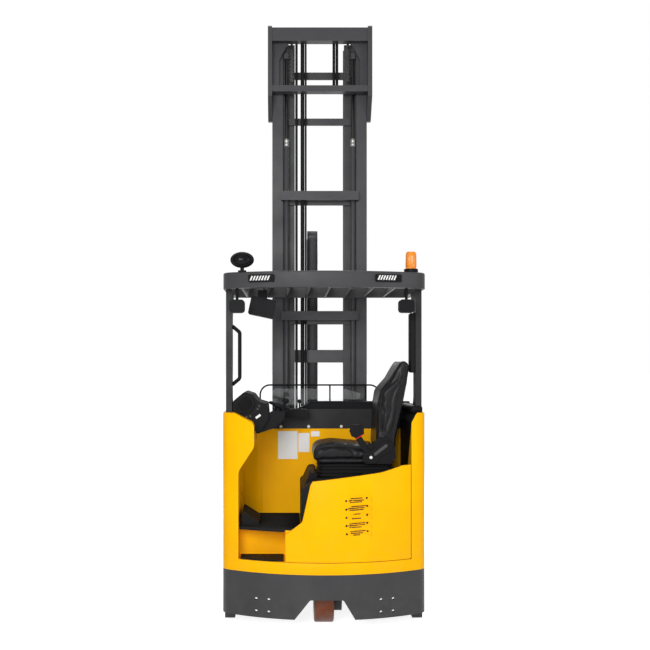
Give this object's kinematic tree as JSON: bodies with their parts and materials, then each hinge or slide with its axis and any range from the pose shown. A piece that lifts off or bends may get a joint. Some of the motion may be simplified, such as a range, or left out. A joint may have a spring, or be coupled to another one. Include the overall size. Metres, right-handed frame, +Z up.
{
  "type": "reach truck",
  "caption": "Sit-on warehouse reach truck with a sideways seat, overhead guard, steered drive wheel, support legs and a reaching triplex mast with tilting forks.",
  "frame": {"origin": "on the floor, in the middle of the truck's box", "axes": "+X to the right as seen from behind, +Y forward to the forks, +Z up"},
  "size_m": [1.28, 2.522, 4.05],
  "materials": {
    "yellow_paint": "satin paint",
    "dark_paint": "textured paint",
    "black_plastic": "grained moulding",
    "black_rubber": "matt",
    "seat_leatherette": "grained leatherette",
    "bright_steel": "ground",
    "polyurethane": "cast polyurethane",
    "amber_lens": "ribbed lens",
    "clear_screen": "clear sheet",
    "chain_steel": "oiled"
  },
  "bodies": {
    "chassis": {"skirt": "dark_paint", "chassis_deck": "dark_paint", "leg_left": "dark_paint", "leg_right": "dark_paint", "load_axles": "bright_steel", "body_sill": "yellow_paint", "left_wall": "yellow_paint", "right_wall": "yellow_paint", "rear_cover": "yellow_paint", "seat_box": "black_plastic", "floor_box": "yellow_paint", "mats": "black_rubber", "pedals": "black_rubber", "bulkhead_lower": "yellow_paint", "bulkhead_upper": "dark_paint", "battery": "dark_paint", "hood": "black_plastic", "seat_bellows": "black_rubber", "seat_cushion": "seat_leatherette", "seat_back": "seat_leatherette", "seat_recliner": "black_plastic", "dash": "black_plastic", "lever_console": "black_plastic", "guard_post_left": "dark_paint", "guard_post_right": "dark_paint", "guard_roof": "dark_paint", "guard_lamps": "black_plastic", "beacon_base": "black_plastic", "beacon_lens": "amber_lens", "mirror": "black_plastic", "monitor_box": "black_plastic", "grab_handle": "black_plastic", "post_pad": "black_rubber", "screen_hoop": "black_plastic", "clear_screen": "clear_screen"},
    "drive_unit": {"drive_unit": "dark_paint"},
    "drive_wheel": {"drive_hub": "dark_paint", "drive_tyre": "polyurethane"},
    "load_wheel_left": {"load_wheel_left": "polyurethane"},
    "load_wheel_right": {"load_wheel_right": "polyurethane"},
    "steering_wheel": {"steering_wheel": "black_plastic"},
    "mast_outer": {"outer_rails": "dark_paint", "outer_bars": "dark_paint", "head_portal": "dark_paint", "reach_frame": "dark_paint", "lift_cylinders": "dark_paint", "lift_chains": "chain_steel", "hoses": "black_rubber"},
    "mast_middle": {"middle_rails": "dark_paint", "middle_bars": "dark_paint", "lift_rods": "bright_steel"},
    "mast_inner": {"inner_rails": "dark_paint", "inner_bars": "dark_paint", "free_lift_cylinder": "dark_paint"},
    "carriage": {"carriage": "dark_paint"},
    "fork_tilt": {"tilt_frame": "dark_paint"},
    "fork_shift": {"shift_carriage": "dark_paint", "forks": "dark_paint"}
  },
  "joints": [
    {"name": "drive_steer", "type": "hinge", "parent": "chassis", "child": "drive_unit", "pos_m": [0, -0.961, 0.3], "axis": [0, 0, 1], "range_deg": [-90, 90]},
    {"name": "drive_roll", "type": "hinge", "parent": "drive_unit", "child": "drive_wheel", "pos_m": [0, -0.961, 0.1715], "axis": [1, 0, 0], "continuous": true},
    {"name": "load_roll_left", "type": "hinge", "parent": "chassis", "child": "load_wheel_left", "pos_m": [-0.565, 0.479, 0.1425], "axis": [1, 0, 0], "continuous": true},
    {"name": "load_roll_right", "type": "hinge", "parent": "chassis", "child": "load_wheel_right", "pos_m": [0.565, 0.479, 0.1425], "axis": [1, 0, 0], "continuous": true},
    {"name": "steering_turn", "type": "hinge", "parent": "chassis", "child": "steering_wheel", "pos_m": [-0.283, -0.931, 1.379], "axis": [0.342, 0, 0.9397], "range_deg": [-450, 450]},
    {"name": "mast_reach", "type": "slide", "parent": "chassis", "child": "mast_outer", "axis": [0, 1, 0], "range_m": [0, 0.56]},
    {"name": "mast_lift", "type": "slide", "parent": "mast_outer", "child": "mast_middle", "axis": [0, 0, 1], "range_m": [0, 2.95]},
    {"name": "inner_lift", "type": "slide", "parent": "mast_middle", "child": "mast_inner", "axis": [0, 0, 1], "range_m": [0, 2.95]},
    {"name": "free_lift", "type": "slide", "parent": "mast_inner", "child": "carriage", "axis": [0, 0, 1], "range_m": [0, 2.6]},
    {"name": "fork_tilt", "type": "hinge", "parent": "carriage", "child": "fork_tilt", "pos_m": [0, 0.079, 0.6], "axis": [1, 0, 0], "range_deg": [-2, 4]},
    {"name": "side_shift", "type": "slide", "parent": "fork_tilt", "child": "fork_shift", "axis": [1, 0, 0], "range_m": [-0.075, 0.075]}
  ],
  "couplings": [
    {"joint": "inner_lift", "follows": "mast_lift", "ratio": 1},
    {"joint": "steering_turn", "follows": "drive_steer", "ratio": 5}
  ]
}
